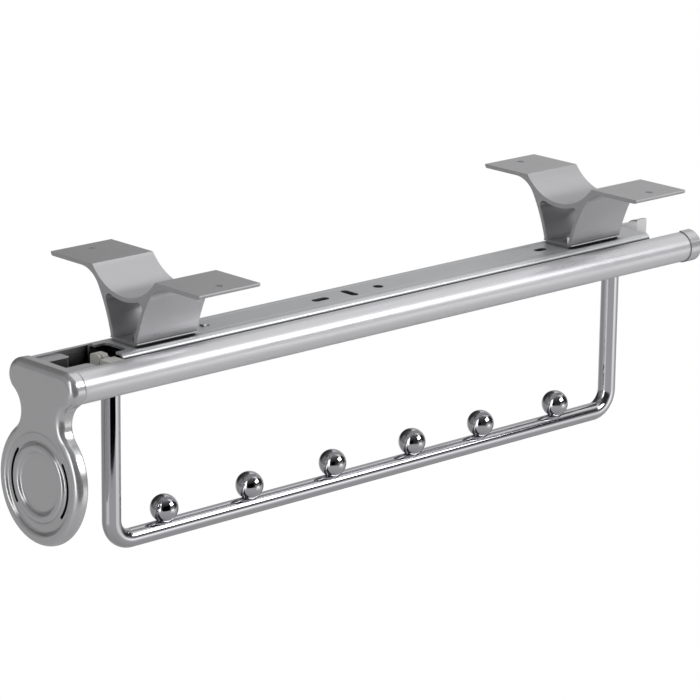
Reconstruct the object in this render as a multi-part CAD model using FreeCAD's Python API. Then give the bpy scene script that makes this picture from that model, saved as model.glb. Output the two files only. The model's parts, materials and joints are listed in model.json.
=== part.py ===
# Pull-out wardrobe rail, in millimetres.
# The rail hangs under a shelf from two brackets and slides out towards -Y on a three-member ball slide.
# X runs across the rail, Y along it with the handle at -Y, and Z up.
# The origin is the centre of the four wing screw holes, on the plane that the shelf touches.
import FreeCAD, Part

import math
import os

from FreeCAD import Vector

os.makedirs("parts", exist_ok=True)

# Places along the rail, measured from the front face of the handle plate
bracket_spacing = 315.0
bracket_setback = 74.5
face_y = -bracket_spacing / 2 - bracket_setback
plate_thickness = 9.5
body_length = 444.0
cap_length = 8.0
channel_setback = 42.5
channel_back_gap = 23.0
body_back_setback = plate_thickness + body_length
channel_length = body_back_setback - channel_back_gap - channel_setback

# Bracket: one aluminium extrusion, cut to length
bracket_length = 40.0
bracket_height = 37.0
wing_span = 118.0
wing_thickness = 2.2
wing_tip_round = 1.7
wing_hole_spacing = 100.0
wing_hole_d = 4.5
wing_sink_d = 8.6
saddle_width = 50.0
saddle_depth = 12.5
saddle_wall = 2.3
flank_root_x = 34.0
flank_top_radius = 16.0
flank_top_turn = 60.0
flank_radius = 93.6
flank_wall = 2.1
foot_width = 21.4
foot_thickness = 2.1
foot_base_width = 17.6
foot_undercut = 1.4
chamber_floor = 2.0
chamber_top_round = 3.0
chamber_floor_round = 0.6

# Screws that hold the slide under the brackets
bracket_screw_d = 4.0
bracket_screw_head_d = 7.5
bracket_screw_pitch = 24.0
bracket_screw_hole_d = 5.0
nut_flats = 7.0
nut_height = 3.2
nut_crown_inset = 0.2
nut_wall_gap = 0.7
screw_proud = 0.9

# Fixed channel of the slide, open downwards
channel_width = 28.8
channel_height = 12.6
channel_wall = 1.4
channel_round = 3.0
lip_reach = 4.1
notch_half_width = 8.4
notch_depth = 7.4
notch_round = 2.6
bead_x = 9.0
bead_width = 2.2
bead_depth = 0.18

# Holes in the web of the fixed channel, each with its distance from the channel's front end
slot_width = 4.8
slots_along = ((146.4, 11.2), (313.2, 8.5))
slot_across = (167.4, 12.0)
round_hole = (188.4, 5.8)
tab_offset = 65.0
tab_length = 2.4
tab_width = 3.4
tab_rise = 1.0
tab_round = 0.6
tab_hole_d = 2.6

# Balls and cages
outer_ball_r = 2.0
outer_ball_drop = 6.6
outer_ball_in = 3.1
inner_ball_r = 1.6
inner_ball_drop = 8.4
inner_ball_in = 4.5
race_gap = 0.15
cage_wall = 0.6
cage_gap = 0.5
cage_hole_gap = 0.12
cage_bend_round = 0.5
outer_cage_setback = 120.5
outer_cage_length = 230.0
outer_ball_margin = 10.0
outer_balls_per_side = 8
inner_cage_setback = 125.5
inner_cage_length = 220.0
inner_ball_margin = 25.0
inner_balls_per_side = 6

# Middle and inner channels of the slide
middle_front_gap = 9.0
middle_back_gap = 1.5
middle_wall = 1.5
middle_web = 1.2
middle_round = 1.8
middle_race_depth = 0.3
middle_flange_drop = 10.6
inner_setback = 42.0
inner_back_gap = 1.0
inner_wall = 1.3
inner_web = 1.2
inner_round = 1.4
inner_flange_gap = 0.8

# Body: aluminium extrusion with a rounded tube along each side
tube_radius = 8.6
tube_centre_x = 17.5
tube_rise = 3.8
tube_wall = 1.7
trough_half_width = 16.5
floor_clearance = 2.0
floor_thickness = 2.4
floor_root = 1.8
port_x = 21.2
port_wall = 1.45
port_hole_d = 3.3

# Handle plate: die-cast, with two prongs that enter the trough of the body
trim_proud = 0.6
disc_radius = 32.5
disc_drop = 52.0
neck_half_width = 16.5
plate_lean = 2.2
plate_back_lean = 5.4
front_edge_round = 4.0
back_edge_round = 1.2
prong_length = 16.5
prong_gap = 14.0
prong_drop = 0.9
prong_clearance = 0.15
prong_end_round = 2.5
plate_screw_setback = 18.5
plate_screw_side_gap = 0.4
plate_screw_end_gap = 3.0
plate_screw_hole_end_gap = 2.0

# Relief in the disc of the handle plate, from the rim inwards
rim_inner_radius = 28.2
trough_outer_radius = 25.0
trough_inner_radius = 21.4
trough_depth = 1.75
crest_outer_radius = 19.2
crest_inner_radius = 17.4
crest_depth = 0.95
pad_radius = 14.6
pad_depth = 1.85
relief_round = 2.4
grip_slot_radius = 22.6
grip_slot_width = 1.7
grip_slot_turn = 74.0
grip_slot_depth = 4.0

# Hanger bar and the balls that keep the hangers apart
bar_d = 10.0
bar_setback = 45.7
bar_back_gap = 39.6
bar_span = body_back_setback - bar_back_gap - bar_setback
bar_drop = 141.1
bar_bend_radius = 12.0
stop_ball_r = 7.5
stop_ball_rise = 11.1
stop_ball_shares = (0.09506, 0.25448, 0.41608, 0.57713, 0.72108, 0.88349)
spigot_d = 3.0
spigot_depth = 4.2
spigot_gap = 0.05
spigot_end_gap = 0.3

# Screws and rivets in the moving part
screw_d = 4.0
screw_gap = 0.05
bar_screw_depth = 14.0
bar_screw_end_gap = 1.0
pan_head_d = 7.4
pan_head_height = 2.4
pan_head_round = 1.0
rivet_shares = (0.2846, 0.7192)
rivet_tail_d = 6.0
rivet_tail_height = 1.0
cap_screw_depth = 12.0
cap_screw_d = 3.2
cap_screw_head_d = 6.0
cap_screw_head_height = 1.8
cap_screw_head_gap = 0.3
cap_screw_sunk = 0.4

# Stops
buffer_half_width = 3.6
buffer_height = 12.8
buffer_round = 1.6
buffer_channel_gap = 0.5
buffer_length = 6.0
buffer_groove_offset = 1.5
buffer_groove_width = 0.9
buffer_groove_depth = 0.8
buffer_foot_height = 4.0
buffer_arm_width = 8.2
buffer_arm_depth = 4.4
buffer_arm_drop = 0.2
buffer_arm_length = 9.4
buffer_web_length = 3.4
buffer_web_drop = 1.0
rear_stop_length = 5.5
rear_stop_height = 8.0
rear_stop_side_gap = 0.4
rear_stop_round = 1.0

# Levels, worked out from the sizes above
web_top = -bracket_height
web_under = web_top - channel_wall
outer_ball_z = web_top - outer_ball_drop
outer_ball_x = channel_width / 2 - outer_ball_in
inner_ball_z = web_top - inner_ball_drop
inner_ball_x = outer_ball_x - inner_ball_in
outer_cage_top = web_under - cage_gap
middle_top = outer_cage_top - cage_wall - cage_gap
middle_under = middle_top - middle_web
inner_cage_top = middle_under - cage_gap
floor_top = web_top - channel_height - floor_clearance
floor_under = floor_top - floor_thickness
tube_z = floor_top + tube_rise
body_front_y = face_y + plate_thickness
body_back_y = body_front_y + body_length
bar_axis_z = -bar_drop
bar_radius = bar_d / 2
middle_setback = channel_setback + middle_front_gap
middle_length = channel_length - middle_front_gap - rear_stop_length - middle_back_gap
inner_length = channel_setback + channel_length - rear_stop_length - inner_back_gap - inner_setback
stop_ball_setbacks = [bar_setback + share * bar_span for share in stop_ball_shares]
rivet_setbacks = [bar_setback + share * bar_span for share in rivet_shares]


def at(setback):
    """Y of a place that lies this far behind the front face of the handle plate."""
    return face_y + setback


def along_y(edges, y0, y1):
    """Solid of a closed outline of edges in the XZ plane, carried from y0 to y1."""
    wire = Part.Wire(Part.__sortEdges__(edges))
    face = Part.Face(wire)
    face.translate(Vector(0, y0, 0))
    return face.extrude(Vector(0, y1 - y0, 0))


def point(x, z):
    return Vector(x, 0, z)


def line(a, b):
    return Part.makeLine(point(*a), point(*b))


def arc(a, mid, b):
    return Part.Arc(point(*a), point(*mid), point(*b)).toShape()


def polar(centre, radius, degrees):
    """Point of a circle in the XZ plane, with the angle counted from +X towards +Z."""
    turn = math.radians(degrees)
    return (centre[0] + radius * math.cos(turn), centre[1] + radius * math.sin(turn))


def turn_arc(centre, radius, start, end):
    middle = (start + end) / 2
    return arc(polar(centre, radius, start), polar(centre, radius, middle), polar(centre, radius, end))


def mirrored(edges):
    """The edges and their mirror images across X = 0."""
    return edges + [edge.mirror(Vector(0, 0, 0), Vector(1, 0, 0)) for edge in edges]


def angle_of(centre, target):
    return math.degrees(math.atan2(target[1] - centre[1], target[0] - centre[0]))


def circles_meet(c0, r0, c1, r1):
    """The lower of the two points where two circles in the XZ plane cross."""
    dx = c1[0] - c0[0]
    dz = c1[1] - c0[1]
    gap = math.hypot(dx, dz)
    reach = (r0 ** 2 - r1 ** 2 + gap ** 2) / (2 * gap)
    side = math.sqrt(r0 ** 2 - reach ** 2)
    base = (c0[0] + reach * dx / gap, c0[1] + reach * dz / gap)
    first = (base[0] + side * dz / gap, base[1] - side * dx / gap)
    second = (base[0] - side * dz / gap, base[1] + side * dx / gap)
    return min(first, second, key=lambda p: p[1])


def post(x, y, z0, z1, d):
    """Upright cylinder from z0 to z1."""
    return Part.makeCylinder(d / 2, z1 - z0, Vector(x, y, z0), Vector(0, 0, 1))


def taper(x, y, z0, z1, d0, d1):
    """Upright cone, d0 wide at z0 and d1 wide at z1."""
    return Part.makeCone(d0 / 2, d1 / 2, z1 - z0, Vector(x, y, z0), Vector(0, 0, 1))


def rod_y(x, z, y0, y1, radius):
    return Part.makeCylinder(radius, y1 - y0, Vector(x, y0, z), Vector(0, 1, 0))


def block(x0, x1, y0, y1, z0, z1):
    return Part.makeBox(x1 - x0, y1 - y0, z1 - z0, Vector(x0, y0, z0))


def edges_along_y(solid):
    """Straight edges that run along the rail."""
    found = []
    for edge in solid.Edges:
        if len(edge.Vertexes) != 2:
            continue
        run = edge.Vertexes[1].Point - edge.Vertexes[0].Point
        if edge.Length > 0.5 and abs(run.y) > 0.999 * edge.Length:
            found.append(edge)
    return found


def write(name, *solids):
    shape = solids[0] if len(solids) == 1 else Part.makeCompound(list(solids))
    assert shape.isValid(), name
    shape.exportStep("parts/" + name + ".step")


def flank_centres():
    """Centre of the upper arc of a bracket's flank, the point where the lower arc starts, and its centre."""
    top_centre = (flank_root_x, -wing_thickness - flank_top_radius)
    join = polar(top_centre, flank_top_radius, 90 + flank_top_turn)
    low_centre = polar(join, flank_radius, flank_top_turn - 90)
    return top_centre, join, low_centre


def chamber_foot_x(low_centre):
    """Half width of a bracket's chamber at its floor."""
    drop = low_centre[1] - web_top - chamber_floor
    return low_centre[0] - math.sqrt((flank_radius + flank_wall) ** 2 - drop ** 2)


def bracket_screw_places(y_mid):
    """The two screws of the slide at a bracket, on opposite corners, with their nuts beside the chamber's walls."""
    x = chamber_foot_x(flank_centres()[2]) - nut_flats / 2 - nut_wall_gap
    half = bracket_screw_pitch / 2
    return ((x, y_mid - half), (-x, y_mid + half))


def bracket(y_mid):
    half_span = wing_span / 2
    half_saddle = saddle_width / 2
    foot_top = web_top + foot_thickness
    saddle_radius = (half_saddle ** 2 + saddle_depth ** 2) / (2 * saddle_depth)
    saddle_centre = (0, saddle_radius - saddle_depth)
    top_centre, join, low_centre = flank_centres()
    drop = low_centre[1] - foot_top
    flank_foot = (low_centre[0] - math.sqrt(flank_radius ** 2 - drop ** 2), foot_top)
    foot_corner = (foot_width / 2, foot_top)
    foot_lip = (foot_width / 2, web_top + foot_undercut)
    base_top = (foot_base_width / 2, web_top + foot_undercut)
    base_bottom = (foot_base_width / 2, web_top)
    tip_under = (half_span - wing_tip_round, -wing_thickness)
    tip_centre = (half_span - wing_tip_round, -wing_thickness + wing_tip_round)
    tip_side = (half_span, tip_centre[1])
    saddle_low = (0, -saddle_depth)
    saddle_edge = (half_saddle, 0)
    half_outline = [
        line((0, web_top), base_bottom),
        line(base_bottom, base_top),
        line(base_top, foot_lip),
        line(foot_lip, foot_corner),
        line(foot_corner, flank_foot),
        turn_arc(low_centre, flank_radius, 180 + flank_top_turn - 90, angle_of(low_centre, flank_foot) % 360),
        turn_arc(top_centre, flank_top_radius, 90 + flank_top_turn, 90),
        line((flank_root_x, -wing_thickness), tip_under),
        turn_arc(tip_centre, wing_tip_round, -90, 0),
        line(tip_side, (half_span, 0)),
        line((half_span, 0), saddle_edge),
        turn_arc(saddle_centre, saddle_radius, angle_of(saddle_centre, saddle_edge), -90),
    ]
    y0 = y_mid - bracket_length / 2
    y1 = y_mid + bracket_length / 2
    solid = along_y(mirrored(half_outline), y0, y1)
    solid = solid.cut(chamber(y0, y1, saddle_centre, saddle_radius, low_centre))
    for side in (-1, 1):
        x = side * wing_hole_spacing / 2
        sink = (wing_sink_d - wing_hole_d) / 2
        solid = solid.cut(post(x, y_mid, -2 * wing_thickness, 1, wing_hole_d))
        floor = -wing_thickness
        solid = solid.cut(taper(x, y_mid, floor - 1, floor + sink, wing_sink_d + 2, wing_hole_d))
    for x, y in bracket_screw_places(y_mid):
        solid = solid.cut(post(x, y, web_top - 1, web_top + chamber_floor + 1, bracket_screw_hole_d))
    return solid


def chamber(y0, y1, saddle_centre, saddle_radius, low_centre):
    """The hollow of a bracket, between the saddle, the two flanks and the floor."""
    ceiling_radius = saddle_radius + saddle_wall
    wall_radius = flank_radius + flank_wall
    floor = web_top + chamber_floor
    corner = circles_meet(saddle_centre, ceiling_radius, low_centre, wall_radius)
    foot_x = chamber_foot_x(low_centre)
    half = [
        line((0, floor), (foot_x, floor)),
        turn_arc(low_centre, wall_radius, angle_of(low_centre, (foot_x, floor)) % 360, angle_of(low_centre, corner)),
        turn_arc(saddle_centre, ceiling_radius, angle_of(saddle_centre, corner), -90),
    ]
    solid = along_y(mirrored(half), y0 - 1, y1 + 1)
    top = [e for e in edges_along_y(solid) if e.CenterOfMass.z > floor + 5 and abs(e.CenterOfMass.x) > 1]
    solid = solid.makeFillet(chamber_top_round, top)
    low = [e for e in edges_along_y(solid) if abs(e.CenterOfMass.z - floor) < 0.1 and abs(e.CenterOfMass.x) > 1]
    return solid.makeFillet(chamber_floor_round, low)


def bracket_screw(x, y):
    cone = (bracket_screw_head_d - bracket_screw_d) / 2
    top = web_top + chamber_floor + nut_height + screw_proud
    head = taper(x, y, web_under, web_under + cone, bracket_screw_head_d, bracket_screw_d)
    return head.fuse(post(x, y, web_under + cone, top, bracket_screw_d))


def nut(x, y):
    z = web_top + chamber_floor
    radius = nut_flats / 2 / math.cos(math.radians(30))
    corners = [Vector(x + radius * math.sin(math.radians(60 * k)), y + radius * math.cos(math.radians(60 * k)), z)
               for k in range(7)]
    prism = Part.Face(Part.makePolygon(corners)).extrude(Vector(0, 0, nut_height))
    crown_top = nut_flats - nut_crown_inset
    crown_slope = 2 / math.tan(math.radians(30))
    crown = taper(x, y, z, z + nut_height, crown_top + crown_slope * nut_height, crown_top)
    return prism.common(crown).cut(post(x, y, z - 1, z + nut_height + 1, bracket_screw_d + 2 * screw_gap))


def race_arc(x, z, radius, plane, bulge):
    """Arc of a ball race that dips into an upright face, with its upper and lower ends."""
    half = math.sqrt(radius ** 2 - (plane - x) ** 2)
    upper = (plane, z + half)
    lower = (plane, z - half)
    return upper, lower, arc(upper, (x + bulge * radius, z), lower)


def fixed_channel():
    half = channel_width / 2
    lip_end = half - lip_reach
    bottom = web_top - channel_height
    inside = half - channel_wall
    inner_round = channel_round - channel_wall
    top_centre = (half - channel_round, web_top - channel_round)
    low_centre = (half - channel_round, bottom + channel_round)
    race = outer_ball_r + race_gap
    upper, lower, groove = race_arc(outer_ball_x, outer_ball_z, race, inside, 1)
    bead_start = (bead_x - bead_width / 2, web_top)
    bead_end = (bead_x + bead_width / 2, web_top)
    half_outline = [
        line((0, web_top), bead_start),
        arc(bead_start, (bead_x, web_top - bead_depth), bead_end),
        line(bead_end, (top_centre[0], web_top)),
        turn_arc(top_centre, channel_round, 90, 0),
        line((half, top_centre[1]), (half, low_centre[1])),
        turn_arc(low_centre, channel_round, 0, -90),
        line((low_centre[0], bottom), (lip_end, bottom)),
        line((lip_end, bottom), (lip_end, bottom + channel_wall)),
        line((lip_end, bottom + channel_wall), (low_centre[0], bottom + channel_wall)),
        turn_arc(low_centre, inner_round, -90, 0),
        line((inside, low_centre[1]), lower),
        groove,
        line(upper, (inside, top_centre[1])),
        turn_arc(top_centre, inner_round, 0, 90),
        line((top_centre[0], web_under), (0, web_under)),
    ]
    solid = along_y(mirrored(half_outline), at(channel_setback), at(channel_setback + channel_length))
    cone = (bracket_screw_head_d - bracket_screw_d) / 2
    for y_mid in (-bracket_spacing / 2, bracket_spacing / 2):
        for x, y in bracket_screw_places(y_mid):
            sink = taper(x, y, web_under, web_under + cone,
                         bracket_screw_head_d + 2 * screw_gap, bracket_screw_d + 2 * screw_gap)
            solid = solid.cut(sink).cut(post(x, y, web_under - 1, web_top + 1, bracket_screw_d + 2 * screw_gap))
    for offset, length in slots_along:
        solid = solid.cut(web_slot(offset, False, length))
    solid = solid.cut(web_slot(slot_across[0], True, slot_across[1]))
    solid = solid.cut(post(0, at(channel_setback + round_hole[0]), web_under - 1, web_top + 1, round_hole[1]))
    return web_tab(solid.cut(web_notch()))


def web_notch():
    """What is cut out of the web at the front end, with rounded corners."""
    y0 = at(channel_setback)
    y1 = y0 + notch_depth
    notch = block(-notch_half_width, notch_half_width, y0 - 1, y1, web_under - 1, web_top + 1)
    corners = [e for e in notch.Edges if abs(e.BoundBox.YMin - y1) < 0.01 and e.BoundBox.ZLength > 1]
    return notch.makeFillet(notch_round, corners)


def web_tab(solid):
    """Adds the stop tab that is pressed up from the web behind the front bracket, and its hole."""
    y = at(channel_setback + tab_offset)
    half = tab_width / 2
    tab = block(-half, half, y - tab_length / 2, y + tab_length / 2, web_top - 0.1, web_top + tab_rise)
    rim = [e for e in tab.Edges if abs(e.BoundBox.ZMin - web_top - tab_rise) < 0.01]
    tab = tab.makeFillet(tab_round, rim)
    hole_y = y + tab_length / 2 + tab_hole_d / 2
    return solid.fuse(tab).cut(post(0, hole_y, web_under - 1, web_top + 2 * tab_rise, tab_hole_d))


def web_slot(offset, across, length):
    """Round-ended slot through the web of the fixed channel, along the rail or across it."""
    y = at(channel_setback + offset)
    run = (length - slot_width) / 2
    z0 = web_under - 1
    z1 = web_top + 1
    half = slot_width / 2
    if across:
        ends = ((-run, y), (run, y))
        middle = block(-run, run, y - half, y + half, z0, z1)
    else:
        ends = ((0, y - run), (0, y + run))
        middle = block(-half, half, y - run, y + run, z0, z1)
    for x, end_y in ends:
        middle = middle.fuse(post(x, end_y, z0, z1, slot_width))
    return middle


def middle_channel():
    outside = outer_ball_x - outer_ball_r - race_gap + middle_race_depth
    inside = outside - middle_wall
    bottom = web_top - middle_flange_drop
    outer_race = outer_ball_r + race_gap
    inner_race = inner_ball_r + race_gap
    corner = (outside - middle_round, middle_top - middle_round)
    inner_round_r = middle_round - middle_web
    inner_corner = (inside - inner_round_r, middle_under - inner_round_r)
    up_out, low_out, groove_out = race_arc(outer_ball_x, outer_ball_z, outer_race, outside, -1)
    up_in, low_in, groove_in = race_arc(inner_ball_x, inner_ball_z, inner_race, inside, 1)
    half_outline = [
        line((0, middle_top), (corner[0], middle_top)),
        turn_arc(corner, middle_round, 90, 0),
        line((outside, corner[1]), up_out),
        groove_out,
        line(low_out, (outside, bottom)),
        line((outside, bottom), (inside, bottom)),
        line((inside, bottom), low_in),
        groove_in,
        line(up_in, (inside, inner_corner[1])),
        turn_arc(inner_corner, inner_round_r, 0, 90),
        line((inner_corner[0], middle_under), (0, middle_under)),
    ]
    return along_y(mirrored(half_outline), at(middle_setback), at(middle_setback + middle_length))


def inner_channel():
    outside = inner_ball_x - inner_ball_r - race_gap + middle_race_depth
    inside = outside - inner_wall
    top = inner_cage_top - cage_wall - inner_flange_gap
    race = inner_ball_r + race_gap
    corner = (outside - inner_round, floor_top + inner_round)
    upper, lower, groove = race_arc(inner_ball_x, inner_ball_z, race, outside, -1)
    half_outline = [
        line((0, floor_top), (corner[0], floor_top)),
        turn_arc(corner, inner_round, -90, 0),
        line((outside, corner[1]), lower),
        groove,
        line(upper, (outside, top)),
        line((outside, top), (inside, top)),
        line((inside, top), (inside, floor_top + inner_web)),
        line((inside, floor_top + inner_web), (0, floor_top + inner_web)),
    ]
    solid = along_y(mirrored(half_outline), at(inner_setback), at(inner_setback + inner_length))
    for setback in [bar_setback, bar_setback + bar_span] + rivet_setbacks:
        hole = post(0, at(setback), floor_top - 1, floor_top + inner_web + 1, screw_d + 2 * screw_gap)
        solid = solid.cut(hole)
    return solid


def cage(x, top, bottom, y0, y1, ball_places, hole_r):
    """Pressed strip, a shallow U upside down, with a round hole for each ball in both sides."""
    out = x + cage_wall / 2
    inside = x - cage_wall / 2
    shell = block(-out, out, y0, y1, bottom, top).cut(block(-inside, inside, y0 - 1, y1 + 1, bottom - 1, top - cage_wall))
    bends = [e for e in edges_along_y(shell) if abs(e.CenterOfMass.z - top) < 0.01]
    shell = shell.makeFillet(cage_bend_round, bends)
    for y, z in ball_places:
        shell = shell.cut(Part.makeCylinder(hole_r, 2 * out + 2, Vector(-out - 1, y, z), Vector(1, 0, 0)))
    return shell


def ball_row(setback, length, count, margin):
    """Places along Y of the balls in one side of a cage, from one end margin to the other."""
    pitch = (length - 2 * margin) / (count - 1)
    return [at(setback + margin) + pitch * k for k in range(count)]


def balls(x, z, radius, rows):
    return [Part.makeSphere(radius, Vector(side * x, y, z)) for side in (-1, 1) for y in rows]


def body_outline(grow):
    """Outline of the body's section, with the outer round faces moved out by grow."""
    tube = (tube_centre_x, tube_z)
    radius = tube_radius + grow
    root = trough_half_width - floor_root
    low = tube_z - radius
    high = tube_z + radius
    return mirrored([
        line((0, floor_under), (root, floor_under)),
        line((root, floor_under), (root, low)),
        line((root, low), (tube_centre_x, low)),
        arc((tube_centre_x, low), (tube_centre_x + radius, tube_z), (tube_centre_x, high)),
        line((tube_centre_x, high), (trough_half_width, high)),
        line((trough_half_width, high), (trough_half_width, floor_top)),
        line((trough_half_width, floor_top), (0, floor_top)),
    ])


def tube_void(side, y0, y1):
    """The hollow of a side tube, above and below its screw port."""
    inner = tube_radius - tube_wall
    wall_x = trough_half_width + tube_wall
    half = math.sqrt(inner ** 2 - (wall_x - tube_centre_x) ** 2)
    upper = (wall_x, tube_z + half)
    lower = (wall_x, tube_z - half)
    void = along_y([line(lower, upper), arc(upper, (tube_centre_x + inner, tube_z), lower)], y0, y1)
    port = rod_y(port_x, tube_z, y0, y1, port_hole_d / 2 + port_wall)
    void = void.cut(port).fuse(rod_y(port_x, tube_z, y0, y1, port_hole_d / 2))
    if side < 0:
        void = void.mirror(Vector(0, 0, 0), Vector(1, 0, 0))
    return void


def body_profile():
    solid = along_y(body_outline(0), body_front_y, body_back_y)
    for side in (-1, 1):
        solid = solid.cut(tube_void(side, body_front_y - 1, body_back_y + 1))
    for setback in [bar_setback, bar_setback + bar_span] + rivet_setbacks:
        solid = solid.cut(post(0, at(setback), floor_under - 1, floor_top + 1, screw_d + 2 * screw_gap))
    for x, y in plate_screw_places():
        solid = solid.cut(post(x, y, floor_under - 1, floor_top + 1, screw_d + 2 * screw_gap))
    return solid


def plate_screw_places():
    x = trough_half_width - floor_root - pan_head_d / 2 - plate_screw_side_gap
    return ((-x, at(plate_screw_setback)), (x, at(plate_screw_setback)))


def neck_arc(head_centre, head_radius, disc_centre):
    """Radius and centre of the hollow curve that runs from the head to the disc.

    It touches both and comes in to the half width of the neck.
    """
    offset = neck_half_width - head_centre[0]
    drop = head_centre[1] - disc_centre[1]
    a_slope = 2 * (head_radius - offset)
    a_rest = head_radius ** 2 - offset ** 2
    b_slope = 2 * (disc_radius - neck_half_width)
    b_rest = disc_radius ** 2 - neck_half_width ** 2
    ratio = b_slope / a_slope
    qa = 1 - ratio
    qb = -2 * drop
    qc = drop ** 2 - b_rest + ratio * a_rest
    fall = (-qb - math.sqrt(qb ** 2 - 4 * qa * qc)) / (2 * qa)
    radius = (fall ** 2 - a_rest) / a_slope
    return radius, (neck_half_width + radius, head_centre[1] - fall)


def handle_plate():
    head_radius = tube_radius + trim_proud
    head = (tube_centre_x, tube_z)
    disc = (0, tube_z - disc_drop)
    neck_radius, neck = neck_arc(head, head_radius, disc)
    head_top = tube_z + head_radius
    half_outline = [
        line((0, head_top), (tube_centre_x, head_top)),
        turn_arc(head, head_radius, 90, angle_of(head, neck)),
        turn_arc(neck, neck_radius, angle_of(neck, head) % 360, angle_of(neck, disc) % 360),
        turn_arc(disc, disc_radius, angle_of(disc, neck), -90),
    ]
    solid = along_y(mirrored(half_outline), face_y, body_front_y + plate_thickness)
    front = [e for e in solid.Edges if abs(e.BoundBox.YMax - face_y) < 0.01 and abs(e.BoundBox.YMin - face_y) < 0.01]
    solid = solid.makeFillet(front_edge_round, front)
    solid = solid.cut(disc_relief(disc))
    solid.rotate(Vector(0, body_front_y, tube_z), Vector(1, 0, 0), -plate_lean)
    knee = polar(head, head_radius, angle_of(head, neck))[1]
    solid = solid.cut(behind_plate(knee, disc[1] - 2 * disc_radius))
    back = [e for e in solid.Edges if on_plate_back(e, knee)]
    solid = solid.makeFillet(back_edge_round, back)
    for side in (-1, 1):
        solid = solid.fuse(prong(side))
    return solid.removeSplitter()


def behind_plate(knee, bottom):
    """Everything behind the plate: upright at the body's end down to the knee, then leaning forward to the bottom."""
    reach = (knee - bottom) * math.tan(math.radians(plate_back_lean))
    rear = body_front_y + 2 * plate_thickness
    half = 2 * disc_radius
    corners = [(body_front_y, half), (rear, half), (rear, bottom), (body_front_y - reach, bottom), (body_front_y, knee)]
    points = [Vector(-half, y, z) for y, z in corners]
    return Part.Face(Part.makePolygon(points + points[:1])).extrude(Vector(2 * half, 0, 0))


def on_plate_back(edge, knee):
    """Whether the edge is part of the rim of the leaning part of the plate's back."""
    slope = math.tan(math.radians(plate_back_lean))
    off = [abs(v.Point.y - body_front_y + (knee - v.Point.z) * slope) for v in edge.Vertexes]
    return max(off) < 0.01 and edge.BoundBox.ZLength > 1 and edge.BoundBox.YLength > 0.1


def disc_relief(disc):
    """What is taken out of the disc's face.

    A slope runs down from the rim to a round trough, a crest rises inside it, and the pad in the middle is sunk.
    Two arc slots in the trough are deep enough for the finger tips.
    """
    profile = [
        (0, -1), (rim_inner_radius, -1), (rim_inner_radius, 0),
        (trough_outer_radius, trough_depth), (trough_inner_radius, trough_depth),
        (crest_outer_radius, crest_depth), (crest_inner_radius, crest_depth),
        (pad_radius, pad_depth), (0, pad_depth),
    ]
    points = [Vector(disc[0] + r, face_y + depth, disc[1]) for r, depth in profile]
    face = Part.Face(Part.makePolygon(points + points[:1]))
    relief = face.revolve(Vector(disc[0], face_y, disc[1]), Vector(0, 1, 0), 360)
    soft = [e for e in relief.Edges if e.BoundBox.YLength < 0.01 and e.BoundBox.YMin > face_y + crest_depth / 2]
    relief = relief.makeFillet(relief_round, soft)
    outer = grip_slot_radius + grip_slot_width / 2
    inner = grip_slot_radius - grip_slot_width / 2
    for middle in (0, 180):
        start = middle - grip_slot_turn / 2
        end = start + grip_slot_turn
        start_centre = polar(disc, grip_slot_radius, start)
        end_centre = polar(disc, grip_slot_radius, end)
        sector = [
            turn_arc(disc, outer, start, end),
            turn_arc(end_centre, grip_slot_width / 2, end, end + 180),
            turn_arc(disc, inner, end, start),
            turn_arc(start_centre, grip_slot_width / 2, start + 180, start + 360),
        ]
        relief = relief.fuse(along_y(sector, face_y, face_y + grip_slot_depth))
    return relief


def prong(side):
    """Block on the plate's back that fills one side of the trough, with the hole for its screw."""
    x0 = prong_gap / 2
    x1 = trough_half_width - prong_clearance
    top = tube_z + tube_radius - prong_drop
    back = body_front_y + prong_length
    solid = block(x0, x1, body_front_y - 1, back, floor_top, top)
    corner = [e for e in solid.Edges
              if abs(e.BoundBox.YMin - back) < 0.01 and abs(e.BoundBox.ZMin - floor_top) < 0.01
              and abs(e.BoundBox.ZMax - top) < 0.01 and abs(e.BoundBox.XMax - x0) < 0.01]
    solid = solid.makeFillet(prong_end_round, corner)
    x, y = plate_screw_places()[1]
    hole_top = top - plate_screw_hole_end_gap
    solid = solid.cut(post(x, y, floor_top - 1, hole_top, screw_d + 2 * screw_gap))
    if side < 0:
        solid = solid.mirror(Vector(0, 0, 0), Vector(1, 0, 0))
    return solid


def plate_screw(x, y):
    """Pan-head screw that comes up through the body's floor into a prong."""
    head = post(x, y, floor_under - pan_head_height, floor_under, pan_head_d)
    rim = [e for e in head.Edges if abs(e.BoundBox.ZMax - (floor_under - pan_head_height)) < 0.01]
    head = head.makeFillet(pan_head_round, rim)
    tip = tube_z + tube_radius - prong_drop - plate_screw_end_gap
    return head.fuse(post(x, y, floor_under, tip, screw_d))


def rear_cap():
    """Cast cover of the body's back end: it follows the section and stands a little proud round the tubes."""
    y1 = body_back_y + cap_length
    solid = along_y(body_outline(trim_proud), body_back_y, y1)
    for side in (-1, 1):
        x = side * port_x
        solid = solid.cut(rod_y(x, tube_z, body_back_y - 1, y1 + 1, cap_screw_d / 2 + screw_gap))
        sink = cap_screw_head_height + cap_screw_sunk
        solid = solid.cut(rod_y(x, tube_z, y1 - sink, y1 + 1, cap_screw_head_d / 2 + cap_screw_head_gap))
    return solid


def cap_screw(side):
    y1 = body_back_y + cap_length - cap_screw_sunk
    x = side * port_x
    head = rod_y(x, tube_z, y1 - cap_screw_head_height, y1, cap_screw_head_d / 2)
    shank = rod_y(x, tube_z, body_back_y - cap_screw_depth, y1 - cap_screw_head_height, cap_screw_d / 2)
    return head.fuse(shank)


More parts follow.
